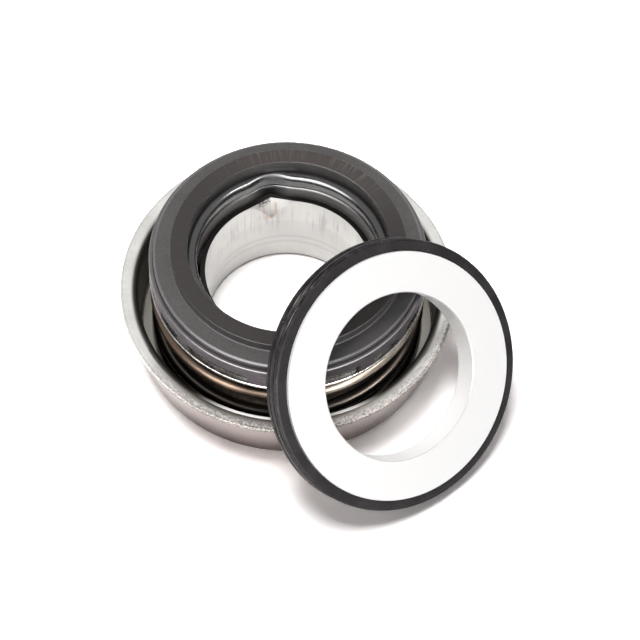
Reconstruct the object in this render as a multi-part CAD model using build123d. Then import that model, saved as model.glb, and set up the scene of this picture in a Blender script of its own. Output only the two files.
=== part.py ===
from build123d import *
import math
import os

os.makedirs("parts", exist_ok=True)

# Millimetres. The seal axis is Z and the cup stands on Z = 0.
# Radii follow one another outwards from the shaft, so a piece always fits round the one inside it.

# Pump shaft that the seal is made for
shaft_diameter = 25.4

# Deep-drawn cup
cup_sheet = 0.8
sleeve_shaft_clearance = 0.8
sleeve_height = 16.2
cup_spring_clearance = 2.0
flange_width = 2.1
flange_height = 11.6
cup_outer_bend = 1.3
cup_edge_break = 0.3

# Dent staked outwards in the sleeve's upper edge, which stops the bellows turning
dent_azimuth = 104.5
dent_half_span = 20.0
dent_depth = 1.0
dent_height = 5.0

# Carbon primary ring
carbon_seat_height = 18.6
shoulder_width = 2.85
shoulder_thickness = 3.0
nose_width = 2.7
nose_rise = 1.75
nose_edge_break = 0.15
shoulder_edge_break = 0.3

# Retainer shell round the head
shell_sheet = 0.6
shell_clearance = 0.1
shell_top_below_shoulder = 1.0
notch_height = 1.95
# (angle from the notch pattern's centre line, width), both in degrees, for a quarter of the shell
notch_pattern = [(23.5, 28.0), (51.0, 13.0), (70.5, 11.0)]
notch_centre_azimuths = [-94.5, 85.5]

# Spring seat washer
seat_thickness = 0.65
seat_overhang = 0.1
seat_bellows_clearance = 0.95

# Spring
wire_diameter = 2.2
spring_overhang = 0.05
spring_pitch = 6.3
lower_dead_turns = 0.6
upper_dead_turns = 0.3
run_in_turns = 0.2
points_per_turn = 16
spring_seat_azimuth = 39.0

# Rubber bellows
rubber_wall = 1.2
rubber_flange = 2.1
lip_rise = 2.3
lip_wall = 1.4
lip_bead_round = 1.1
lip_foot_round = 0.6
lip_sleeve_clearance = 0.45
fold_spring_clearance = 1.3
fold_below_flange = 4.95
fold_gap = 2.0
fold_root_radius = 0.9
fold_crest_radius = 0.8
tail_floor_clearance = 1.2
inner_wall_clearance = 0.75
dent_pocket_round = 5.0
dent_pocket_gap = 0.15

# Tail band that clamps the bellows on the sleeve
band_sheet = 0.6
band_fold_clearance = 1.65
band_foot_margin = 0.1

# Mating ring and its boot
ceramic_shaft_clearance = 0.65
ceramic_nose_margin = 0.85
ceramic_thickness = 4.4
bore_chamfer = 0.15
ceramic_edge_break = 0.1
face_proud = 0.7
boot_wall = 1.8
boot_back = 0.5
boot_shaft_clearance = 1.7
boot_back_round = 0.8
boot_front_round = 0.4
boot_back_step = 0.25
boot_step_margin = 0.35
rib_groove_depth = 0.35
rib_groove_width = 0.6
rib_groove_round = 0.27
rib_groove_depths_back = [0.8, 2.15]

# Where the mating ring leans
ring_azimuth = -48.1
ring_yaw = -1.15
ring_tilt = 47.6

# Fits
static_fit = 0.05
lean_gap = 0.08

# How far a cutting tool runs past the surface that it cuts
tool_overrun = 1.0

# The lean is found by trying the head's edges degree by degree and halving the interval so often
circle_degrees = 360
lean_halvings = 20

# Radii that follow, from the shaft outwards
shaft_r = shaft_diameter / 2
bore_r = shaft_r + sleeve_shaft_clearance
sleeve_r = bore_r + cup_sheet
tail_inner_r = sleeve_r + static_fit
tail_r = tail_inner_r + rubber_wall
band_r = tail_r + static_fit
lip_r = sleeve_r + lip_sleeve_clearance + lip_wall
carbon_bore_r = lip_r + static_fit
nose_r = carbon_bore_r + nose_width
carbon_r = nose_r + shoulder_width
shell_inner_r = carbon_r + shell_clearance
shell_r = shell_inner_r + shell_sheet
seat_r = shell_r + seat_overhang
seat_bore_r = sleeve_r + inner_wall_clearance + rubber_wall + seat_bellows_clearance
spring_r = seat_r + spring_overhang
fold_r = spring_r - wire_diameter - fold_spring_clearance
cup_inner_r = spring_r + cup_spring_clearance
body_r = cup_inner_r + cup_sheet
flange_r = body_r + flange_width
ceramic_bore_r = shaft_r + ceramic_shaft_clearance
ceramic_r = nose_r + ceramic_nose_margin
boot_bore_r = shaft_r + boot_shaft_clearance
boot_seat_r = ceramic_r + static_fit
boot_r = boot_seat_r + boot_wall

# Heights that follow
shoulder_z = carbon_seat_height + shoulder_thickness
nose_z = shoulder_z + nose_rise
rubber_flange_bottom = carbon_seat_height - static_fit - rubber_flange
seat_top = rubber_flange_bottom - static_fit
seat_bottom = seat_top - seat_thickness
shell_bottom = rubber_flange_bottom
shell_top = shoulder_z - shell_top_below_shoulder
fold_mid_height = rubber_flange_bottom - fold_below_flange
band_foot_bottom = cup_sheet + static_fit
band_foot_top = band_foot_bottom + band_sheet
band_top = fold_mid_height - fold_gap - band_fold_clearance
spring_bottom = band_foot_top + static_fit
spring_top = seat_bottom - static_fit
boot_depth = ceramic_thickness + static_fit + boot_back
boot_step = boot_depth - boot_back_round - boot_step_margin


# A solid turned about Z from a closed outline of (radius, height) points.
# rounds gives (corner, radius) pairs for the outline's fillets.
def turned(outline, rounds=()):
    face = make_face(Plane.XZ * Polyline(*outline, close=True))
    for (radius, height), size in rounds:
        corner = face.vertices().sort_by_distance(Vector(radius, 0, height))[0]
        face = fillet(corner, size)
    return revolve(face, Axis.Z)


def polar(radius, azimuth, height):
    angle = math.radians(azimuth)
    return (radius * math.cos(angle), radius * math.sin(angle), height)


# A four-faced solid through four points.
def tetrahedron(a, b, c, d):
    faces = [Face(Wire.make_polygon(triple)) for triple in ((a, b, c), (a, b, d), (b, c, d), (a, c, d))]
    return Solid(Shell(faces))


# Pointed pocket pressed outwards from a wall: its mouth lies along the wall's top edge.
def dent_wedge(wall_r):
    left = polar(wall_r, dent_azimuth + dent_half_span, sleeve_height)
    right = polar(wall_r, dent_azimuth - dent_half_span, sleeve_height)
    tip = polar(wall_r + dent_depth, dent_azimuth, sleeve_height)
    foot = polar(wall_r, dent_azimuth, sleeve_height - dent_height)
    return tetrahedron(left, right, tip, foot)


def make_cup():
    flange_bottom = flange_height - cup_sheet
    outline = [
        (bore_r, 0), (body_r, 0), (body_r, flange_bottom), (flange_r, flange_bottom),
        (flange_r, flange_height), (cup_inner_r, flange_height), (cup_inner_r, cup_sheet),
        (sleeve_r, cup_sheet), (sleeve_r, sleeve_height), (bore_r, sleeve_height),
    ]
    inner_bend = cup_outer_bend - cup_sheet
    rounds = [
        ((bore_r, 0), cup_edge_break),
        ((body_r, 0), cup_outer_bend),
        ((body_r, flange_bottom), inner_bend),
        ((flange_r, flange_height), cup_edge_break),
        ((cup_inner_r, flange_height), cup_outer_bend),
        ((cup_inner_r, cup_sheet), inner_bend),
        ((sleeve_r, cup_sheet), inner_bend),
    ]
    pressing = turned(outline, rounds)
    bulge = dent_wedge(sleeve_r) - Cylinder(bore_r, 2 * (sleeve_height + tool_overrun))
    return pressing + bulge - dent_wedge(bore_r)


def make_tail_band():
    foot_r = spring_r + band_foot_margin
    outer = band_r + band_sheet
    outline = [
        (band_r, band_foot_bottom), (foot_r, band_foot_bottom), (foot_r, band_foot_top),
        (outer, band_foot_top), (outer, band_top), (band_r, band_top),
    ]
    rounds = [((band_r, band_foot_bottom), band_sheet), ((outer, band_foot_top), band_sheet / 3)]
    return turned(outline, rounds)


# Height of the wire's centre line at a turn count from the lower end: a flat end, a steady pitch
# and a flat end, with a short run-in at each change.
def wire_height(turn, free_turns, low):
    x = min(max(turn - lower_dead_turns, 0.0), free_turns)
    left = free_turns - x
    if x < run_in_turns:
        risen = x * x / (2 * run_in_turns)
    elif left < run_in_turns:
        risen = free_turns - run_in_turns - left * left / (2 * run_in_turns)
    else:
        risen = x - run_in_turns / 2
    return low + spring_pitch * risen


def make_spring():
    wire_r = wire_diameter / 2
    low = spring_bottom + wire_r
    high = spring_top - wire_r
    free_turns = (high - low) / spring_pitch + run_in_turns
    all_turns = lower_dead_turns + free_turns + upper_dead_turns
    count = round(all_turns * points_per_turn)
    points = []
    for index in range(count + 1):
        turn = all_turns * index / count
        azimuth = spring_seat_azimuth + 360 * (turn - lower_dead_turns - free_turns)
        points.append(polar(spring_r - wire_r, azimuth, wire_height(turn, free_turns, low)))
    path = Spline(*points)
    section = Plane(origin=path @ 0, z_dir=path % 0) * Circle(wire_r)
    return sweep(section, path=path)


def make_spring_seat():
    outline = [
        (seat_bore_r, seat_bottom), (seat_r, seat_bottom), (seat_r, seat_top), (seat_bore_r, seat_top),
    ]
    edge = seat_thickness / 4
    return turned(outline, [((seat_r, seat_bottom), edge), ((seat_r, seat_top), edge)])


def make_retainer_shell():
    outline = [
        (shell_inner_r, shell_bottom), (shell_r, shell_bottom), (shell_r, shell_top),
        (shell_inner_r, shell_top),
    ]
    shell = turned(outline, [((shell_r, shell_top), shell_sheet / 2)])
    cutter_length = 2 * shell_r
    for centre in notch_centre_azimuths:
        for offset, width in notch_pattern:
            for side in (-1, 1):
                cutter = notch_cutter(width, cutter_length)
                shell -= Rot(0, 0, centre + side * offset) * cutter
    return shell


# Wedge that spans width degrees about the X direction, as tall as a notch.
def notch_cutter(width, reach):
    half = math.radians(width / 2)
    tip = (reach * math.cos(half), reach * math.sin(half))
    wedge = make_face(Polyline((0, 0), tip, (reach, 0), (tip[0], -tip[1]), close=True))
    return Pos(0, 0, shell_bottom - tool_overrun) * extrude(wedge, notch_height + tool_overrun)


def make_carbon_ring():
    outline = [
        (carbon_bore_r, carbon_seat_height), (carbon_r, carbon_seat_height), (carbon_r, shoulder_z),
        (nose_r, shoulder_z), (nose_r, nose_z), (carbon_bore_r, nose_z),
    ]
    rounds = [
        ((carbon_r, carbon_seat_height), shoulder_edge_break),
        ((carbon_r, shoulder_z), shoulder_edge_break),
        ((nose_r, shoulder_z), nose_edge_break),
        ((nose_r, nose_z), nose_edge_break),
        ((carbon_bore_r, nose_z), nose_edge_break),
    ]
    return turned(outline, rounds)


# The bellows' section: a wall of even thickness from the tail through one fold to the flange,
# with the flange and the lip that grip the carbon ring.
def make_bellows():
    half = rubber_wall / 2
    tail_mid = tail_inner_r + half
    inner_mid = sleeve_r + inner_wall_clearance + half
    fold_mid = fold_r - half
    flange_top = rubber_flange_bottom + rubber_flange
    flange_edge = carbon_r - static_fit
    wall_line = FilletPolyline(
        (tail_mid, cup_sheet + tail_floor_clearance),
        (tail_mid, fold_mid_height - fold_gap),
        (fold_mid, fold_mid_height - fold_gap / 2),
        (fold_mid, fold_mid_height + fold_gap / 2),
        (inner_mid, fold_mid_height + fold_gap),
        (inner_mid, rubber_flange_bottom + half),
        radius=[fold_root_radius, fold_crest_radius, fold_crest_radius, fold_root_radius],
    )
    wall = make_face(Plane.XZ * offset(wall_line, half, side=Side.BOTH))
    flange = make_face(Plane.XZ * Polyline(
        (inner_mid, rubber_flange_bottom), (flange_edge, rubber_flange_bottom),
        (flange_edge, flange_top), (inner_mid, flange_top), close=True))
    lip_inner = lip_r - lip_wall
    lip_bottom = flange_top - half
    lip_top = flange_top + lip_rise
    lip = make_face(Plane.XZ * Polyline(
        (lip_inner, lip_bottom), (lip_r, lip_bottom), (lip_r, lip_top), (lip_inner, lip_top),
        close=True))
    for height, size in ((lip_bottom, lip_foot_round), (lip_top, lip_bead_round)):
        corner = lip.vertices().sort_by_distance(Vector(lip_inner, 0, height))[0]
        lip = fillet(corner, size)
    return revolve(wall + flange + lip, Axis.Z) - dent_pocket(lip_top)


# Smooth groove down the bellows' inner wall and lip, in which the sleeve's dent slides.
def dent_pocket(top):
    reach = sleeve_r + dent_depth + dent_pocket_gap
    low = fold_mid_height + fold_gap
    height = top + tool_overrun - low
    centre = polar(reach - dent_pocket_round, dent_azimuth, low + height / 2)
    return Pos(*centre) * Cylinder(dent_pocket_round, height)


# Height of the mating ring's front centre when the round of the boot's back edge stands on Z = 0.
def ring_centre_height():
    tilt = math.radians(ring_tilt)
    round_centre_r = boot_r - boot_back_step - boot_back_round
    return round_centre_r * math.sin(tilt) + (boot_depth - boot_back_round) * math.cos(tilt) + boot_back_round


# The mating ring's front face when its centre is at the given distance from the seal axis.
def ring_plane(distance):
    tilt = math.radians(ring_tilt)
    facing = ring_azimuth + ring_yaw
    centre = polar(distance, ring_azimuth, ring_centre_height())
    normal = polar(math.sin(tilt), facing, math.cos(tilt))
    return Plane(origin=centre, x_dir=polar(1, facing + 90, 0), z_dir=normal)


# Least distance from the boot's back face to a circular edge about the seal axis, over the points
# of the edge that face the boot.
def edge_clearance(plane, edge_r, edge_z):
    least = math.inf
    for degree in range(circle_degrees):
        point = plane.to_local_coords(Vector(*polar(edge_r, degree, edge_z)))
        if boot_bore_r <= math.hypot(point.X, point.Y) <= boot_r:
            least = min(least, -boot_depth - point.Z)
    return least


# The front face's plane when the boot's back face stands the lean gap off the seal's nearest edge.
def lean_plane():
    edges = [(nose_r, nose_z), (carbon_r, shoulder_z), (shell_r, shell_top), (flange_r, flange_height)]
    near, far = 0.0, flange_r + boot_r + boot_depth
    for _ in range(lean_halvings):
        middle = (near + far) / 2
        if min(edge_clearance(ring_plane(middle), *edge) for edge in edges) < lean_gap:
            near = middle
        else:
            far = middle
    return ring_plane(far)


def make_mating_ring(plane):
    outline = [
        (ceramic_bore_r, -ceramic_thickness), (ceramic_r, -ceramic_thickness), (ceramic_r, 0),
        (ceramic_bore_r + bore_chamfer, 0), (ceramic_bore_r, -bore_chamfer),
    ]
    return plane * turned(outline, [((ceramic_r, 0), ceramic_edge_break)])


def make_ring_boot(plane):
    front = -face_proud
    back = -boot_depth
    back_r = boot_r - boot_back_step
    outline = [
        (boot_seat_r, front), (boot_r, front), (boot_r, -boot_step), (back_r, -boot_step),
        (back_r, back), (boot_bore_r, back), (boot_bore_r, -ceramic_thickness - static_fit),
        (boot_seat_r, -ceramic_thickness - static_fit),
    ]
    rounds = [((boot_r, front), boot_front_round), ((back_r, back), boot_back_round)]
    boot = turned(outline, rounds)
    for depth in rib_groove_depths_back:
        ring = Rectangle(2 * rib_groove_depth, rib_groove_width)
        ring = fillet(ring.vertices(), rib_groove_round)
        boot -= revolve(Plane.XZ * Pos(boot_r, front - depth) * ring, Axis.Z)
    return plane * boot


ring_lean = lean_plane()
solids = {
    "cup": make_cup(),
    "tail_band": make_tail_band(),
    "spring": make_spring(),
    "spring_seat": make_spring_seat(),
    "retainer_shell": make_retainer_shell(),
    "carbon_ring": make_carbon_ring(),
    "bellows": make_bellows(),
    "mating_ring": make_mating_ring(ring_lean),
    "ring_boot": make_ring_boot(ring_lean),
}

for node, solid in solids.items():
    export_step(solid, f"parts/{node}.step")
    print(node)
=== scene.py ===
import bpy
import math
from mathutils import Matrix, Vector


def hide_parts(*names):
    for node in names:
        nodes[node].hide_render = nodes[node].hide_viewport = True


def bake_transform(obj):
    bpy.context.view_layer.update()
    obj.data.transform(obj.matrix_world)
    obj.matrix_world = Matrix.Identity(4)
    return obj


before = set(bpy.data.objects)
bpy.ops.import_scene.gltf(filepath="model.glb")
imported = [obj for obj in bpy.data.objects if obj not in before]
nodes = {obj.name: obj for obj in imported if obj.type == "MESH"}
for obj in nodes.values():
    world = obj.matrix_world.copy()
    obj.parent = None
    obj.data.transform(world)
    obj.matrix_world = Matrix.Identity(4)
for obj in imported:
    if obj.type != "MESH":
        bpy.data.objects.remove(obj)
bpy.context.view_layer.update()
mm = 0.001
mixFirst, mixSecond, mixResult = 6, 7, 2  # places of the colour sockets on a Mix node
print("frame loaded")

cameraSetup = {
    "place": (5.56 * mm, -175.715 * mm, 287.642 * mm),
    "lookDown": 58.51,  # degrees below the horizon
    "roll": 2.73,
    "lens": 111.8,
    "sensor": 36.0,
}


def addCamera(setup):
    bpy.ops.object.camera_add(location=setup["place"])
    camera = bpy.context.object
    camera.rotation_mode = "ZYX"  # roll first, then the tilt
    camera.rotation_euler = (math.radians(90 - setup["lookDown"]), 0, math.radians(setup["roll"]))
    camera.data.lens = setup["lens"]
    camera.data.sensor_width = setup["sensor"]
    camera.data.clip_start = 0.01
    camera.data.clip_end = 10
    bpy.context.scene.camera = camera
    bpy.context.scene.view_settings.view_transform = "Standard"


addCamera(cameraSetup)
print("camera set")


class Wire:
    # a shader node's output that takes part in sums
    def __init__(self, shading, socket):
        self.shading = shading
        self.socket = socket

    def maths(self, operation, *values):
        return self.shading.node("ShaderNodeMath", {"operation": operation}, values)

    def __add__(self, other):
        return self.maths("ADD", self, other)

    def __sub__(self, other):
        return self.maths("SUBTRACT", self, other)

    def __rsub__(self, other):
        return self.maths("SUBTRACT", other, self)

    def __mul__(self, other):
        return self.maths("MULTIPLY", self, other)

    __radd__ = __add__
    __rmul__ = __mul__

    def larger(self, other):
        return self.maths("MAXIMUM", self, other)

    def smooth(self, low, high):
        # 0 below low, 1 above high
        settings = {"interpolation_type": "SMOOTHSTEP"}
        return self.shading.node("ShaderNodeMapRange", settings, (self, low, high))

    def band(self, low, high, soft):
        # 1 between low and high, with edges that are soft on both sides of them
        return self.smooth(low - soft, low + soft) * (1 - self.smooth(high - soft, high + soft))


class Shading:
    # the nodes of one material, or of the world
    def __init__(self, owner):
        owner.use_nodes = True
        self.tree = owner.node_tree

    def node(self, kind, settings=None, inputs=(), output=0):
        new = self.tree.nodes.new(kind)
        for key, value in (settings or {}).items():
            setattr(new, key, value)
        pairs = inputs.items() if isinstance(inputs, dict) else enumerate(inputs)
        for key, value in pairs:
            self.feed(new.inputs[key], value)
        return Wire(self, new.outputs[output])

    def feed(self, socket, value):
        if isinstance(value, Wire):
            self.tree.links.new(value.socket, socket)
        else:
            socket.default_value = value

    def mix(self, factor, a, b):
        first, second = (colour if isinstance(colour, Wire) else (*colour, 1) for colour in (a, b))
        values = {0: factor, mixFirst: first, mixSecond: second}
        return self.node("ShaderNodeMix", {"data_type": "RGBA"}, values, mixResult)


class Finish(Shading):
    # a material on one Principled shader, with its steady values set on the shader's own sockets
    def __init__(self, name, **steady):
        self.material = bpy.data.materials.new(name)
        super().__init__(self.material)
        self.shader = self.tree.nodes["Principled BSDF"]
        for socket, value in steady.items():
            self.shader.inputs[socket.replace("_", " ")].default_value = value

    def vary(self, socket, value):
        self.feed(self.shader.inputs[socket], value)

    def coordinates(self, origin=(0, 0, 0), turn=(0, 0, 0)):
        # Object coordinates, moved and turned so that the piece's own axis is Z
        self.place = self.node("ShaderNodeTexCoord", output="Object")
        if origin != (0, 0, 0):
            values = (self.place, origin, turn)
            self.place = self.node("ShaderNodeMapping", {"vector_type": "TEXTURE"}, values)
        self.flat = self.node("ShaderNodeVectorMath", {"operation": "MULTIPLY"}, (self.place, (1, 1, 0)))
        # from here on in mm
        self.x, self.y, self.z = (self.node("ShaderNodeSeparateXYZ", None, (self.place,), axis) * (1 / mm)
                                  for axis in range(3))
        self.radius = self.node("ShaderNodeVectorMath", {"operation": "LENGTH"}, (self.flat,), "Value")
        self.radius = self.radius * (1 / mm)

    def turned(self, azimuth):
        # degrees round the axis from the given azimuth, -180 to 180, with the jump opposite it
        angle = math.radians(azimuth)
        ahead = self.x * math.cos(angle) + self.y * math.sin(angle)
        aside = self.y * math.cos(angle) - self.x * math.sin(angle)
        return self.node("ShaderNodeMath", {"operation": "ARCTAN2"}, (aside, ahead)) * math.degrees(1)

    def facing(self, azimuth, low, high, soft):
        # 1 on the side that faces the azimuth, from low to high degrees away from it
        return self.turned(azimuth).band(low, high, soft)

    def around(self, across, along, outward):
        # noise coordinates that follow the circles about the axis: direction, height and radius
        unit = self.node("ShaderNodeVectorMath", {"operation": "NORMALIZE"}, (self.flat,))
        spread = self.node("ShaderNodeVectorMath", {"operation": "SCALE"}, {0: unit, "Scale": across})
        height = self.z * along + self.radius * outward
        lift = self.node("ShaderNodeCombineXYZ", None, (0.0, 0.0, height))
        return self.node("ShaderNodeVectorMath", {"operation": "ADD"}, (spread, lift))

    def noise(self, scale, detail=2.0, roughness=0.5, place=None):
        values = {"Vector": place or self.place, "Scale": scale, "Detail": detail, "Roughness": roughness}
        return self.node("ShaderNodeTexNoise", None, values)

    def bump(self, height, distance, strength=1.0):
        values = {"Height": height, "Distance": distance, "Strength": strength}
        return self.node("ShaderNodeBump", None, values)


def shade(colour, share):
    return tuple(part * share for part in colour)


def dress(piece, material):
    piece.data.materials.clear()
    piece.data.materials.append(material)


print("shader helpers ready")

cupValues = {
    "sleeve": (0.49, 0.482, 0.468),
    "sleeveLowShade": (0.10, 0.095, 0.09),  # two faint painted shade lines low in the sleeve, and its foot darkened as painted shade
    "sleeveEdgeShade": (0.03, 0.027, 0.026),  # the sleeve's top edge, painted dark as shade in the gap beside the rubber
    "burr": (0.10, 0.09, 0.085),
    "stain": (0.42, 0.33, 0.28),
    # painted light: the dent is drawn paler than the sleeve to cover the shade on its facets
    "dent": (0.60, 0.59, 0.573),
    "rim": (0.84, 0.83, 0.80),
    # painted shade: the rim drawn darker in front
    "frontRimShade": (0.52, 0.49, 0.468),
    # pale grains on the rim: real grain, drawn bright as painted glints
    "rimGrainAndGlint": (0.76, 0.74, 0.71),
    # painted shade on the flange's outer edge, broken by pale grains as painted glints
    "rimEdgeShade": (0.26, 0.24, 0.225),
    # painted shade: the rim's inner bend into the mouth drawn dark
    "bendShade": (0.085, 0.076, 0.060),
    "wall": (0.52, 0.488, 0.474),
    # painted shade: the wall drawn darker and browner in front
    "frontWallShade": (0.30, 0.262, 0.250),
    # painted shade: the wall's lower part in front
    "wallLowShade": (0.085, 0.068, 0.062),
    # painted shade: the cup's inside drawn dark olive
    "inside": (0.10, 0.088, 0.066),
    "floor": (0.95, 0.91, 0.83),
    "underside": (0.42, 0.40, 0.38),
    "mouthHighlight": (1.0, 0.99, 0.97),  # the mouth's inner edge, a painted highlight along one side
    "grainSize": 3400,
    "rough": 0.30,
    "relief": 0.08,  # mm
    # sides in degrees: the azimuth faced, then from, to and softness on both sides of it
    # the front side, where the rim and wall are drawn darker as painted shade
    "shadedFrontSide": (-95, -38, 40, 22),
    # where the grain's painted glints are strongest
    "grainGlintSide": (-75, -60, 75, 20),
    "mouthHighlightSide": (-100, -16, 42, 10),
    # what lies round the dent, in degrees from its azimuth
    "dentAzimuth": 104.5,
    "dentSpan": (-12, 8, 5),
    "stainSpan": (-3.9, 6.4, 0.6),
    "stainGapSpan": (-2.4, 4.9, 0.8),
    "burrSpan": (0.2, 9.5, 1.2),
    # heights in mm: from and to of a slope, or from, to and softness of a band
    "markHeights": (9.0, 14.5, 2.5),
    "lineHeights": [(3.9, 4.6, 0.4), (5.5, 6.1, 0.35)],
    "footShadeHeights": (0.3, 0.65),
    "dentHeights": (12.0, 14.5),
    "stainHeights": (11.5, 15.2, 0.4),
    "stainGapHeights": (12.1, 12.6),
    "burrHeights": (14.6, 15.8),
    "sleeveEdgeShadeHeights": (16.12, 16.18),
    "floorHeights": (0.9, 1.5),
    "undersideHeights": (0.04, 0.16),
    "wallHeights": (0.5, 6.5),
    "rimHeights": (10.4, 11.3),
    "rimEdgeHeights": (9.9, 10.4),
    "grainHeights": (10.7, 11.0),
    "mouthHeights": (10.2, 11.0),
    "mouthHighlightHeights": (10.2, 10.35),
    # radii in mm, each the from and to of a slope
    "sleeveRadii": (15.2, 15.6),
    "floorRadii": (22.6, 22.9),
    "mouthRadii": (24.66, 24.78),
    "bendShadeRadii": (24.6, 26.1),
    "frontShadeReach": 0.6,  # how much further out the bend's painted shade reaches in front
    "mouthHighlightInnerRadii": (24.5, 24.62),
    "mouthHighlightOuterRadii": (25.5, 25.65),
    "grainRadii": (25.9, 26.7),
    "rimEdgeRadii": (27.0, 27.25),
}


def sleeveTone(steel, values, dent, cloud, grain, axial):
    z = steel.z
    fromDent = steel.turned(values["dentAzimuth"])
    marks = axial.smooth(0.48, 0.70) * z.band(*values["markHeights"]) * 0.75
    lower, upper = (z.band(*heights) for heights in values["lineHeights"])
    # the foot of the bore is darkened as painted shade
    foot = 1 - z.smooth(*values["footShadeHeights"])
    worn = cloud.smooth(0.35, 0.7) * 0.4 + marks
    tone = steel.mix(worn, values["sleeve"], shade(values["sleeve"], 0.72))
    tone = steel.mix((lower + upper) * 0.14 + foot * 0.86, tone, values["sleeveLowShade"])
    # painted light over the shade of the dent's facets
    tone = steel.mix(dent * 0.8, tone, values["dent"])
    # the stain is a hook: a square mark with its middle left out
    gap = fromDent.band(*values["stainGapSpan"]) * z.smooth(*values["stainGapHeights"])
    stain = fromDent.band(*values["stainSpan"]) * z.band(*values["stainHeights"]) * (1 - gap * 0.85)
    tone = steel.mix(stain * grain.smooth(0.2, 0.6) * 0.9, tone, values["stain"])
    burr = fromDent.band(*values["burrSpan"]) * z.smooth(*values["burrHeights"])
    tone = steel.mix(burr * grain.smooth(0.38, 0.56), tone, values["burr"])
    # painted shade: the sleeve's top edge drawn dark
    return steel.mix(z.smooth(*values["sleeveEdgeShadeHeights"]), tone, values["sleeveEdgeShade"])


def insideTone(steel, values, cloud):
    tone = steel.mix(cloud.smooth(0.3, 0.7), shade(values["inside"], 0.8), shade(values["inside"], 1.25))
    floor = (1 - steel.z.smooth(*values["floorHeights"])) * steel.radius.smooth(*values["floorRadii"])
    return steel.mix(floor, tone, values["floor"])


def wallTone(steel, values, shadedFront, cloud):
    high = steel.mix(shadedFront, values["wall"], values["frontWallShade"])
    # towards the bottom the wall is drawn darker, most in front: painted shade
    low = steel.mix(shadedFront, shade(values["wall"], 0.6), values["wallLowShade"])
    tone = steel.mix(steel.z.smooth(*values["wallHeights"]), low, high)
    return steel.mix(cloud.smooth(0.3, 0.75) * 0.3, tone, values["frontWallShade"])


def rimTone(steel, values, shadedFront, granular, cloud, grain):
    # painted shade: the rim is darker in front
    tone = steel.mix(shadedFront, values["rim"], values["frontRimShade"])
    tone = steel.mix(cloud.smooth(0.3, 0.7) * 0.25, tone, values["bendShade"])
    tone = steel.mix(granular * grain.smooth(0.42, 0.62), tone, values["rimGrainAndGlint"])
    darkGrain = steel.mix(shadedFront, shade(values["rim"], 0.62), shade(values["frontRimShade"], 0.72))
    tone = steel.mix(granular * (1 - grain.smooth(0.41, 0.51)), tone, darkGrain)
    # painted shade on the inner bend, reaching further out in front
    bendShade = 1 - (steel.radius - shadedFront * values["frontShadeReach"]).smooth(*values["bendShadeRadii"])
    return steel.mix(bendShade, tone, values["bendShade"])


def cupSteel(values):
    steel = Finish("cupSteel")
    steel.coordinates()
    radius, z = steel.radius, steel.z
    cloud = steel.noise(110, 4)
    grain = steel.noise(values["grainSize"], 3, 0.65)
    axial = steel.noise(3.2, 3, 0.55, steel.around(8, 0.04, 0))  # short marks that run up the sleeve

    # where each finish lies
    onSleeve = 1 - radius.smooth(*values["sleeveRadii"])
    inside = (1 - radius.smooth(*values["mouthRadii"])) * (1 - z.smooth(*values["mouthHeights"]))
    dent = steel.facing(values["dentAzimuth"], *values["dentSpan"]) * z.smooth(*values["dentHeights"])
    shadedFront = steel.facing(*values["shadedFrontSide"])
    # the grain shows most on the front and right, where its painted glints fall
    grainGlintShare = steel.facing(*values["grainGlintSide"]) * 0.7 + 0.3
    granular = radius.smooth(*values["grainRadii"]) * z.smooth(*values["grainHeights"]) * grainGlintShare
    edge = radius.smooth(*values["rimEdgeRadii"]) * z.smooth(*values["rimEdgeHeights"]) * grainGlintShare
    # a painted highlight: a bright line on the mouth's inner edge along one side
    mouthHighlight = steel.facing(*values["mouthHighlightSide"]) * (1 - radius.smooth(*values["mouthHighlightOuterRadii"]))
    mouthHighlight = mouthHighlight * z.smooth(*values["mouthHighlightHeights"]) * radius.smooth(*values["mouthHighlightInnerRadii"])

    wall = wallTone(steel, values, shadedFront, cloud)
    rim = rimTone(steel, values, shadedFront, granular, cloud, grain)
    tone = steel.mix(z.smooth(*values["rimHeights"]), wall, rim)
    # painted shade on the outer edge, with painted glints
    edgeShade, edgeGlint = shade(values["rimEdgeShade"], 0.5), shade(values["rimEdgeShade"], 1.3)
    tone = steel.mix(edge, tone, steel.mix(grain.smooth(0.45, 0.6), edgeShade, edgeGlint))
    # painted shade inside the cup
    tone = steel.mix(inside, tone, insideTone(steel, values, cloud))
    tone = steel.mix(1 - z.smooth(*values["undersideHeights"]), tone, values["underside"])
    tone = steel.mix(mouthHighlight, tone, values["mouthHighlight"])
    tone = steel.mix(onSleeve, tone, sleeveTone(steel, values, dent, cloud, grain, axial))
    steel.vary("Base Color", tone)
    # the painted highlight is drawn as a white non-metal
    steel.vary("Metallic", 1 - mouthHighlight)
    rough = granular * 0.12 + edge * 0.25 + inside * 0.1 + (axial * 0.1 + dent * 0.35) * onSleeve
    steel.vary("Roughness", values["rough"] + cloud * 0.1 + rough)
    pattern = grain * (granular + 0.05) + axial * onSleeve * 0.06
    steel.vary("Normal", steel.bump(pattern, values["relief"] * mm, 0.9))
    return steel.material


dress(nodes["cup"], cupSteel(cupValues))
print("cup dressed")

stripValues = {
    "tail_band": {
        "tone": (0.20, 0.18, 0.16),
        "edge": (0.12, 0.11, 0.10),
        "rough": 0.35,
        "relief": 0.006,  # mm
        "edgeHeights": (7.6, 7.9),  # mm
    },
    "spring_seat": {
        "tone": (0.36, 0.34, 0.32),
        # near white: a painted highlight along the seat's edge
        "edge": (0.97, 0.96, 0.94),
        "rough": 0.2,
        "relief": 0.006,
        "edgeHeights": (15.9, 16.4),
        "highlightSide": (-100, -6, 8, 5),  # only here: the side where the edge carries its painted highlight
    },
    "retainer_shell": {
        "tone": (0.090, 0.080, 0.088),
        # a paler top edge: painted highlight
        "edge": (0.16, 0.15, 0.155),
        "rough": 0.36,
        "relief": 0.006,
        "edgeHeights": (20.35, 20.6),
    },
}
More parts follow.
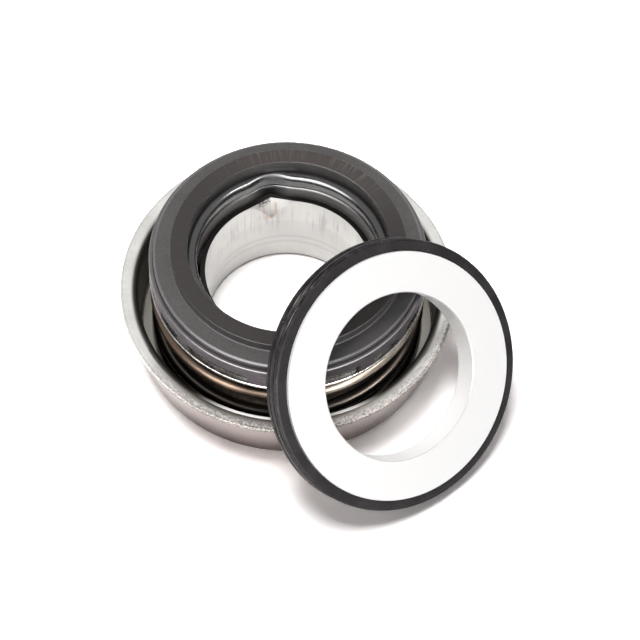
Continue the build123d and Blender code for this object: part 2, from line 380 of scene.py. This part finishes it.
# degrees: the azimuth faced, then from, to and softness on both sides of it
# painted shadow on the side under the leaning ring, and a painted sheen on the left
stripSides = {"ringShadow": (-52, -28, 30, 12), "paintedSheen": (-170, -22, 16, 12)}


def stripSteel(name, values, sides):
    steel = Finish(name + "Steel", Metallic=1.0)
    steel.coordinates()
    rolled = steel.noise(2.6, 4, 0.6, steel.around(9, 0.7, 0.7))
    cloud = steel.noise(240, 4, 0.6)
    tone = steel.mix(rolled.smooth(0.3, 0.7), shade(values["tone"], 0.75), shade(values["tone"], 1.15))
    tone = steel.mix(cloud.smooth(0.45, 0.75) * 0.4, tone, shade(values["tone"], 0.55))
    if "highlightSide" in values:
        # the seat's painted highlight lies on one side of its edge
        worn = steel.facing(*values["highlightSide"]) * 0.6 + cloud.smooth(0.5, 0.7) * 0.2
    else:
        worn = cloud * 0.2 + 0.7
        # painted shadow under the leaning ring and a painted sheen on the left side
        tone = steel.mix(steel.facing(*sides["ringShadow"]) * 0.8, tone, shade(values["tone"], 0.45))
        tone = steel.mix(steel.facing(*sides["paintedSheen"]) * 0.8, tone, shade(values["tone"], 2.2))
    edge = steel.z.smooth(*values["edgeHeights"]) * worn
    steel.vary("Base Color", steel.mix(edge, tone, values["edge"]))
    steel.vary("Roughness", values["rough"] + rolled * 0.15)
    steel.vary("Normal", steel.bump(cloud * 0.5 + rolled, values["relief"] * mm, 0.6))
    return steel.material


for name, values in stripValues.items():
    dress(nodes[name], stripSteel(name, values, stripSides))
print("strip steel dressed")

carbonValues = {
    "shoulder": (0.077, 0.0735, 0.0725),
    "shoulderEdge": (0.42, 0.41, 0.41),
    "stepLine": (0.14, 0.135, 0.135),
    "nose": (0.025, 0.021, 0.0205),
    # painted sheen: the nose drawn paler on the far side
    "farNoseSheen": (0.050, 0.043, 0.040),
    "lapMark": (0.12, 0.098, 0.090),
    "bore": (0.028, 0.025, 0.024),
    "sliver": (0.11, 0.105, 0.105),  # a lighter patch on the far bore wall
    # sides in degrees: the azimuth faced, then from, to and softness on both sides of it
    "nearSide": (-95, -28, 70, 22),
    # the far side, where the nose is drawn paler as painted sheen
    "sheenFarSide": (80, -50, 45, 25),
    # painted shadow: the side under the leaning ring
    "ringShadowSide": (-48, -24, 40, 14),
    "sliverSide": (98, -9, 9, 2.5),
    # heights and radii in mm: from and to of a slope, or from, to and softness of a band
    "edgeRadii": (21.4, 21.7, 0.12),
    "edgeHeights": (21.2, 21.4),
    "stepRadii": (18.92, 19.12, 0.08),
    "stepHeights": (21.6, 21.9),
    "noseRadii": (18.88, 18.94),
    "noseHeights": (23.1, 23.25),
    "sliverHeights": (21.0, 21.8, 0.2),
    "boreRadii": (16.22, 16.34),
    "rough": 0.46,
    "relief": 0.012,
}


def shoulderTone(carbon, values, speck, cloud):
    radius, z = carbon.radius, carbon.z
    patchy = (speck * 0.5 + cloud * 0.5).smooth(0.3, 0.7)
    tone = carbon.mix(patchy, shade(values["shoulder"], 0.78), shade(values["shoulder"], 1.2))
    # the broken outer edge and the foot of the nose catch light on the near side
    nearSide = carbon.facing(*values["nearSide"]) * 0.8 + 0.2
    edge = radius.band(*values["edgeRadii"]) * z.smooth(*values["edgeHeights"])
    tone = carbon.mix(edge * nearSide, tone, values["shoulderEdge"])
    step = radius.band(*values["stepRadii"]) * (1 - z.smooth(*values["stepHeights"]))
    tone = carbon.mix(step * nearSide, tone, values["stepLine"])
    # painted shadow on the side under the leaning ring
    ringShadowSide = carbon.facing(*values["ringShadowSide"]) * 0.8
    return carbon.mix(ringShadowSide, tone, shade(values["shoulder"], 0.45))


def noseTone(carbon, values, lap):
    patch = carbon.noise(60, 3)
    sheenFarSide = carbon.facing(*values["sheenFarSide"])
    # painted sheen: the nose paler on the far side
    tone = carbon.mix(sheenFarSide * 0.8 + patch * 0.2, values["nose"], values["farNoseSheen"])
    # real lap marks, drawn stronger in the far side's painted sheen
    marks = lap.smooth(0.45, 0.75) * patch.smooth(0.3, 0.6) * (sheenFarSide * 0.75 + 0.1)
    tone = carbon.mix(marks, tone, values["lapMark"])
    wall = 1 - carbon.z.smooth(*values["noseHeights"])
    return carbon.mix(wall, tone, shade(values["shoulder"], 0.8))


def carbonFinish(values):
    carbon = Finish("carbonGraphite", IOR=1.42)
    carbon.coordinates()
    speck = carbon.noise(3600, 2)
    cloud = carbon.noise(170, 4, 0.6)
    lap = carbon.noise(4.0, 3, 0.6, carbon.around(11, 0, 0.06))  # radial lapping marks
    onNose = 1 - carbon.radius.smooth(*values["noseRadii"])
    boreWall = 1 - carbon.radius.smooth(*values["boreRadii"])
    sliver = carbon.facing(*values["sliverSide"]) * carbon.z.band(*values["sliverHeights"]) * boreWall
    tone = carbon.mix(onNose, shoulderTone(carbon, values, speck, cloud), noseTone(carbon, values, lap))
    tone = carbon.mix(boreWall, tone, values["bore"])
    carbon.vary("Base Color", carbon.mix(sliver, tone, values["sliver"]))
    carbon.vary("Roughness", values["rough"] - onNose * 0.1 + speck * 0.12)
    carbon.vary("Normal", carbon.bump(speck * 0.4 + lap * onNose * 0.6, values["relief"] * mm, 0.6))
    return carbon.material


dress(nodes["carbon_ring"], carbonFinish(carbonValues))
print("carbon dressed")

springValues = {
    "wire": 2.2 * mm,
    "meanRadius": 21.5 * mm,
    "low": 2.6 * mm,
    "high": 14.6 * mm,
    "pitch": 6.3 * mm,
    "lowerDeadTurns": 0.6,
    "upperDeadTurns": 0.3,
    "runIn": 0.2,
    "seatAzimuth": 39.0,
    "stepsPerTurn": 96,
    "sides": 24,
    "upperTone": (0.104, 0.075, 0.057),
    # painted sheen: a paler cream tone on the front right
    "sheenTone": (0.21, 0.185, 0.155),
    # painted shade: the lower coils drawn dark, deep in the cup
    "lowerShadeTone": (0.09, 0.078, 0.068),
    "rough": 0.26,
    "relief": 0.004,  # mm
    "upperHeights": (9.5, 12.0),  # mm, where the lower coils' painted shade gives way to the upper tone
    # sides in degrees: the azimuth faced, then from, to and softness on both sides of it
    # a painted sheen on the front right, and painted shade on the front where the wire is drawn brown
    "sheenSide": (-60, -12, 40, 8),
    "shadedWireSide": (-102, -7, 24, 6),
}


def wireHeight(turn, freeTurns, values):
    x = min(max(turn - values["lowerDeadTurns"], 0.0), freeTurns)
    left = freeTurns - x
    runIn = values["runIn"]
    if x < runIn:
        risen = x * x / (2 * runIn)
    elif left < runIn:
        risen = freeTurns - runIn - left * left / (2 * runIn)
    else:
        risen = x - runIn / 2
    return values["low"] + values["pitch"] * risen


def makeSpring(values):
    freeTurns = (values["high"] - values["low"]) / values["pitch"] + values["runIn"]
    allTurns = values["lowerDeadTurns"] + freeTurns + values["upperDeadTurns"]
    start = math.radians(values["seatAzimuth"] - 360 * (values["lowerDeadTurns"] + freeTurns))
    bpy.ops.object.select_all(action="DESELECT")
    bpy.ops.mesh.primitive_circle_add(vertices=values["sides"], radius=values["wire"] / 2,
                                      location=(values["meanRadius"], 0, 0), rotation=(math.pi / 2, 0, 0))
    piece = bpy.context.object
    piece.name = "springCoil"
    bpy.ops.object.transform_apply(location=True, rotation=True, scale=True)
    piece.rotation_euler = (0, 0, start)
    bpy.ops.object.transform_apply(location=False, rotation=True, scale=False)
    screw = piece.modifiers.new("wind", "SCREW")
    screw.angle = 2 * math.pi * allTurns
    screw.steps = screw.render_steps = round(allTurns * values["stepsPerTurn"])
    screw.use_merge_vertices = False
    bpy.ops.object.modifier_apply(modifier="wind")
    rings = len(piece.data.vertices) // values["sides"]
    for index, vertex in enumerate(piece.data.vertices):  # each ring of the wire goes to its height
        turn = allTurns * (index // values["sides"]) / (rings - 1)
        vertex.co.z += wireHeight(turn, freeTurns, values)
    bpy.ops.object.mode_set(mode="EDIT")
    bpy.ops.mesh.select_mode(type="EDGE")
    bpy.ops.mesh.select_all(action="DESELECT")
    bpy.ops.mesh.select_non_manifold()
    bpy.ops.mesh.edge_face_add()
    bpy.ops.mesh.select_all(action="SELECT")
    bpy.ops.mesh.normals_make_consistent(inside=False)
    bpy.ops.object.mode_set(mode="OBJECT")
    bpy.ops.object.shade_smooth_by_angle(angle=math.radians(35))
    print("spring rings", rings, "turns", round(allTurns, 3))
    return piece


def wireSteel(values):
    steel = Finish("wireSteel", Metallic=1.0)
    steel.coordinates()
    cloud = steel.noise(160, 4, 0.6)
    drawn = steel.noise(3.0, 3, 0.6, steel.around(3, 0.9, 0.9))
    # painted sheen on one side, painted shade drawn brown on another
    paintedSheen = steel.facing(*values["sheenSide"])
    wireShade = steel.facing(*values["shadedWireSide"]) * (1 - paintedSheen)
    upperTone = steel.mix(wireShade, values["upperTone"], shade(values["upperTone"], 0.32))
    upperTone = steel.mix(paintedSheen, upperTone, values["sheenTone"])
    tone = steel.mix(steel.z.smooth(*values["upperHeights"]), values["lowerShadeTone"], upperTone)
    tone = steel.mix(cloud.smooth(0.35, 0.7) * 0.5, tone, shade(values["upperTone"], 0.7))
    steel.vary("Base Color", tone)
    steel.vary("Roughness", values["rough"] + drawn * 0.12)
    steel.vary("Normal", steel.bump(drawn, values["relief"] * mm, 0.5))
    return steel.material


spring = makeSpring(springValues)
dress(spring, wireSteel(springValues))
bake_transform(spring)
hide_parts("spring")
print("spring made")

bellowsValues = {
    # (radius, height, rounding) in mm along the middle of the wall, from the tail to the flange
    "wallLine": [(14.95, 2.0, 0), (14.95, 9.5, 0.9), (18.5, 10.5, 0.8), (18.5, 12.5, 0.8),
                 (15.65, 13.5, 0.9), (15.65, 17.05, 0)],
    "wall": 1.2,
    # the groove, the lip round the carbon and the flange under it
    "headLine": [(15.65, 17.65, 0), (15.65, 17.95, 0), (14.75, 17.95, 0.6), (14.75, 20.85, 1.1),
                 (16.15, 20.85, 0.1), (16.15, 18.55, 0.1), (21.7, 18.55, 0.15), (21.7, 16.45, 0.15),
                 (16.25, 16.45, 0)],
    "turnSteps": 256,
    "pocketAzimuth": 104.5,
    "pocketHalfAngle": 16.0,
    "pocketDepth": 0.75,
    "pocketSkins": (14.75, 16.1),  # radii of the skin that moves fully and of the one that stays
    "pocketHeights": (13.2, 14.2),  # the pocket starts at the first and is full from the second up
    "tone": (0.0105, 0.0092, 0.0092),
    # painted reflection: the rubber's inner wall under the lip drawn grey, as the steel sleeve mirrored
    "wallTone": (0.46, 0.44, 0.43),
    "dentTone": (0.035, 0.033, 0.032),
    "rough": 0.18,
    "matte": 0.35,  # how much rougher the bead is where the dent rubs it
    "relief": 0.003,  # mm
    # heights and radii in mm, spans in degrees from the pocket's azimuth
    "wallHeights": (14.2, 17.5, 0.4),
    "wallRadii": (15.5, 15.7),
    "pocketSpan": (-9, 9, 6),
    "pocketToneHeights": (13.6, 19.9, 0.4),
    "dentSpan": (-3.5, 4.5, 2.5),
    "dentHeights": (18.4, 19.8, 0.5),
    "matteSpan": (-6, 3, 7),
    "matteHeights": (18.4, 19.2),
}


def roundedLine(corners, steps=6):
    points = []
    for index, (x, z, size) in enumerate(corners):
        here = Vector((x, z))
        if size == 0:
            points.append(here)
            continue
        behind = (Vector(corners[index - 1][:2]) - here).normalized()
        ahead = (Vector(corners[index + 1][:2]) - here).normalized()
        half = behind.angle(ahead) / 2
        centre = here + (behind + ahead).normalized() * size / math.sin(half)
        start = here + behind * size / math.tan(half)
        end = here + ahead * size / math.tan(half)
        for step in range(steps + 1):
            spoke = start.lerp(end, step / steps) - centre
            points.append(centre + spoke.normalized() * size)
    return points


def arc(x, z, size, first, last, steps=6):
    angles = (math.radians(first + (last - first) * step / steps) for step in range(1, steps))
    return [Vector((x + size * math.cos(angle), z + size * math.sin(angle))) for angle in angles]


def bellowsSection(values):
    middle = roundedLine(values["wallLine"])
    half = values["wall"] / 2
    inner, outer = [], []
    for index, point in enumerate(middle):
        run = middle[min(index + 1, len(middle) - 1)] - middle[max(index - 1, 0)]
        side = Vector((-run.y, run.x)).normalized() * half
        inner.append(point + side)
        outer.append(point - side)
    top, foot = middle[-1], middle[0]
    section = inner + arc(top.x, top.y, half, 180, 90) + roundedLine(values["headLine"])
    return section + outer[-2::-1] + arc(foot.x, foot.y, half, 0, -180)


def pocketPush(x, y, z, values):
    # how far the sleeve's dent pushes a point of the rubber outwards, in mm
    turn = math.degrees(math.atan2(y, x)) - values["pocketAzimuth"]
    turn = (turn + 180) % 360 - 180
    if abs(turn) > values["pocketHalfAngle"]:
        return 0
    bell = math.cos(math.radians(90 * turn / values["pocketHalfAngle"])) ** 2
    inner, outer = values["pocketSkins"]
    start, full = values["pocketHeights"]
    share = min(max((outer - math.hypot(x, y)) / (outer - inner), 0), 1)
    rise = min(max((z - start) / (full - start), 0), 1)
    return values["pocketDepth"] * bell * share * rise


def makeBellows(values):
    section = bellowsSection(values)
    bpy.ops.object.select_all(action="DESELECT")
    bpy.ops.mesh.primitive_circle_add(vertices=len(section), radius=1)
    piece = bpy.context.object
    piece.name = "bellowsRubber"
    for vertex, point in zip(piece.data.vertices, section):
        vertex.co = (point.x * mm, 0, point.y * mm)
    screw = piece.modifiers.new("turn", "SCREW")
    screw.angle = 2 * math.pi
    screw.steps = screw.render_steps = values["turnSteps"]
    screw.use_merge_vertices = True
    screw.merge_threshold = 0.001 * mm
    bpy.ops.object.modifier_apply(modifier="turn")
    for vertex in piece.data.vertices:  # the sleeve's dent slides in this pocket
        x, y, z = vertex.co / mm
        grown = 1 + pocketPush(x, y, z, values) / math.hypot(x, y)
        vertex.co.x *= grown
        vertex.co.y *= grown
    bpy.ops.object.mode_set(mode="EDIT")
    bpy.ops.mesh.select_all(action="SELECT")
    bpy.ops.mesh.normals_make_consistent(inside=False)
    bpy.ops.object.mode_set(mode="OBJECT")
    bpy.ops.object.shade_smooth_by_angle(angle=math.radians(40))
    print("bellows faces", len(piece.data.polygons))
    return piece


def bellowsFinish(values):
    rubber = Finish("bellowsRubber", IOR=1.75)
    rubber.coordinates()
    z, fromDent = rubber.z, rubber.turned(values["pocketAzimuth"])
    cloud = rubber.noise(260, 4, 0.6)
    fine = rubber.noise(2800, 2)
    # painted reflection of the steel sleeve on the inner wall
    innerWallReflection = (1 - rubber.radius.smooth(*values["wallRadii"])) * z.band(*values["wallHeights"])
    pocket = fromDent.band(*values["pocketSpan"]) * z.band(*values["pocketToneHeights"])
    dent = fromDent.band(*values["dentSpan"]) * z.band(*values["dentHeights"])
    matte = fromDent.band(*values["matteSpan"]) * z.smooth(*values["matteHeights"]) * values["matte"]
    tone = rubber.mix(cloud.smooth(0.35, 0.7), values["tone"], shade(values["tone"], 2.0))
    tone = rubber.mix(innerWallReflection, tone, values["wallTone"])
    tone = rubber.mix(pocket, tone, shade(values["tone"], 1.3))
    rubber.vary("Base Color", rubber.mix(dent, tone, values["dentTone"]))
    rubber.vary("Roughness", values["rough"] + cloud * 0.08 + innerWallReflection * 0.25 + matte)
    rubber.vary("Normal", rubber.bump(fine + cloud, values["relief"] * mm, 0.5))
    return rubber.material


bellows = makeBellows(bellowsValues)
dress(bellows, bellowsFinish(bellowsValues))
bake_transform(bellows)
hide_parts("bellows")
print("bellows made")

ringPlace = {
    "centre": (18.628 * mm, -20.761 * mm, 18.774 * mm),  # of the ceramic's front face
    "turn": (0, math.radians(47.6), math.radians(-49.25)),
}

bootValues = {
    "tone": (0.010, 0.0085, 0.009),
    "light": (0.022, 0.019, 0.020),
    # painted highlights along the ridges of the boot's edge
    "ridgeHighlight": (0.11, 0.104, 0.106),
    "speck": (0.45, 0.43, 0.43),
    "scratch": (0.34, 0.325, 0.31),
    "rough": 0.34,
    "relief": 0.004,  # mm
    # in mm and degrees round the ring's own axis, with height 0 at the ceramic's front face
    "edgeRadii": (21.3, 21.5),
    "scratchSide": (-151, -10, 10, 8),
    "scratchHeights": (-3.2, -2.0),
}


def bootFinish(values, place):
    rubber = Finish("bootRubber", IOR=1.2)
    rubber.coordinates(place["centre"], place["turn"])
    cloud = rubber.noise(260, 4, 0.6)
    fine = rubber.noise(2600, 2)
    ridgeStreak = rubber.noise(2.5, 4, 0.65, rubber.around(6, 0.5, 0.5))
    scratch = rubber.noise(2.5, 2, 0.5, rubber.around(2.2, 2, 2)).smooth(0.50, 0.66)
    edge = rubber.radius.smooth(*values["edgeRadii"])
    worn = rubber.facing(*values["scratchSide"]) * edge * rubber.z.smooth(*values["scratchHeights"])
    tone = rubber.mix(cloud.smooth(0.35, 0.7), values["tone"], values["light"])
    # painted highlights in streaks along the edge's ridges
    tone = rubber.mix(edge * ridgeStreak.smooth(0.4, 0.75) * 0.45, tone, values["ridgeHighlight"])
    tone = rubber.mix(rubber.noise(1500, 1).smooth(0.76, 0.80), tone, values["speck"])
    tone = rubber.mix(worn * scratch, tone, values["scratch"])
    rubber.vary("Base Color", tone)
    rubber.vary("Roughness", values["rough"] + cloud * 0.14)
    rubber.vary("Normal", rubber.bump(fine + cloud, values["relief"] * mm, 0.5))
    return rubber.material


dress(nodes["ring_boot"], bootFinish(bootValues, ringPlace))

ceramicValues = {
    "tone": (0.97, 0.97, 0.965),
    "shadeTone": (0.93, 0.93, 0.925),
    # dark lines at the bore's edges: painted shade on the front chamfer, and a dark line at the back edge
    "line": (0.42, 0.41, 0.40),
    "rough": 0.26,
    "relief": 0.002,  # mm
    # the bore's front and back edges, in mm, with height 0 at the front face
    "frontRadii": (13.36, 13.50, 0.03),
    "frontHeights": (-0.2, -0.1),
    "backRadii": (14.4, 14.5),
    "backHeights": (-4.4, -4.1),
}


def ceramicFinish(values, place):
    ceramic = Finish("alumina", IOR=1.6)
    ceramic.coordinates(place["centre"], place["turn"])
    radius, z = ceramic.radius, ceramic.z
    cloud = ceramic.noise(60, 3)
    fine = ceramic.noise(2400, 2)
    frontEdge = radius.band(*values["frontRadii"]) * z.smooth(*values["frontHeights"])
    backEdge = (1 - z.smooth(*values["backHeights"])) * (1 - radius.smooth(*values["backRadii"]))
    tone = ceramic.mix(cloud, values["tone"], values["shadeTone"])
    # painted shade on the front chamfer, and a dark line at the back edge
    tone = ceramic.mix((frontEdge + backEdge) * 0.6, tone, values["line"])
    ceramic.vary("Base Color", tone)
    ceramic.vary("Roughness", values["rough"] + cloud * 0.12)
    ceramic.vary("Normal", ceramic.bump(fine, values["relief"] * mm, 0.4))
    return ceramic.material


dress(nodes["mating_ring"], ceramicFinish(ceramicValues, ringPlace))
print("mating ring and boot dressed")

lampSetup = {
    "key": {"place": (-0.09, 0.02, 0.72), "size": (0.24, 0.24), "power": 4.9, "highlight": False},
    "fill": {"place": (0.10, -0.60, 0.36), "size": (0.30, 0.30), "power": 0.5, "highlight": False},
    "window": {"place": (-0.06, -0.62, 0.31), "size": (1.72, 0.48), "power": 32.0, "highlight": True},
    "upperWindow": {"place": (-0.135, -0.502, 0.468), "size": (0.50, 0.12), "power": 2.0, "highlight": True},
    "sideWindow": {"place": (0.45, -0.26, 0.55), "size": (0.26, 0.14), "power": 3.4, "highlight": True},
}
cardSetup = {"place": (0.01, -0.27, 0.49), "aim": (0, 0, 0.01), "size": 0.30}
stageSetup = {
    "floorSize": 4.0,
    "floorTone": (0.80, 0.80, 0.80),
    "seenTone": (1.45, 1.435, 1.43),  # how the same floor looks to the camera and in reflections
    "fade": (0.12, 0.28),
    "skyTone": (1.0, 0.945, 0.935),  # warms the shadows a little
    "sky": 0.20,
}


def addLamp(name, setup):
    place = Vector(setup["place"])
    bpy.ops.object.light_add(type="AREA", location=place)
    lamp = bpy.context.object
    lamp.name = name + "Lamp"
    lamp.rotation_euler = (-place).to_track_quat("-Z", "Y").to_euler()
    lamp.data.shape = "RECTANGLE"
    lamp.data.size, lamp.data.size_y = setup["size"]
    lamp.data.energy = setup["power"]
    lamp.visible_glossy = setup["highlight"]  # each lamp makes either highlights or light
    lamp.visible_diffuse = not setup["highlight"]


def addCard(setup):
    # a dark card behind the camera, seen only in reflections
    place = Vector(setup["place"])
    bpy.ops.object.select_all(action="DESELECT")
    bpy.ops.mesh.primitive_plane_add(size=setup["size"], location=place)
    card = bpy.context.object
    card.name = "darkCard"
    card.rotation_euler = (Vector(setup["aim"]) - place).to_track_quat("-Z", "Y").to_euler()
    card.visible_camera = card.visible_diffuse = card.visible_shadow = False
    black = Finish("cardBlack", Base_Color=(0.01, 0.01, 0.01, 1), Specular_IOR_Level=0)
    card.data.materials.append(black.material)


def seenShare(shading):
    # 1 for rays that show a surface, straight or mirrored, and 0 for rays that only gather light
    kinds = ("Is Camera Ray", "Is Glossy Ray", "Is Transmission Ray")
    camera, glossy, passing = (shading.node("ShaderNodeLightPath", output=kind) for kind in kinds)
    return camera.larger(glossy).larger(passing)


def addFloor(setup):
    bpy.ops.object.select_all(action="DESELECT")
    bpy.ops.mesh.primitive_plane_add(size=setup["floorSize"], location=(0, 0, 0))
    floor = bpy.context.object
    floor.name = "floor"
    material = bpy.data.materials.new("floorWhite")
    shading = Shading(material)
    shading.tree.nodes.remove(shading.tree.nodes["Principled BSDF"])
    share = seenShare(shading)
    lit = shading.node("ShaderNodeBsdfDiffuse", None, {"Color": (*setup["floorTone"], 1)})
    seen = shading.node("ShaderNodeBsdfDiffuse", None, {"Color": (*setup["seenTone"], 1)})
    near = shading.node("ShaderNodeMixShader", None, (share, lit, seen))
    # far from the part the seen floor turns into an even white backdrop
    place = shading.node("ShaderNodeTexCoord", output="Object")
    distance = shading.node("ShaderNodeVectorMath", {"operation": "LENGTH"}, (place,), "Value")
    fade = shading.node("ShaderNodeMapRange", None, (distance, *setup["fade"]))
    white = shading.node("ShaderNodeEmission")
    far = shading.node("ShaderNodeMixShader", None, (fade * share, near, white))
    shading.feed(shading.tree.nodes["Material Output"].inputs["Surface"], far)
    floor.data.materials.append(material)


def addSky(setup):
    world = bpy.data.worlds.new("studio")
    bpy.context.scene.world = world
    shading = Shading(world)
    share = seenShare(shading)
    sky = shading.tree.nodes["Background"]
    shading.feed(sky.inputs["Strength"], share * (1 - setup["sky"]) + setup["sky"])
    shading.feed(sky.inputs["Color"], shading.mix(share, setup["skyTone"], (1, 1, 1)))


addFloor(stageSetup)
addSky(stageSetup)
for name, setup in lampSetup.items():
    addLamp(name, setup)
addCard(cardSetup)
print("stage and lamps set")
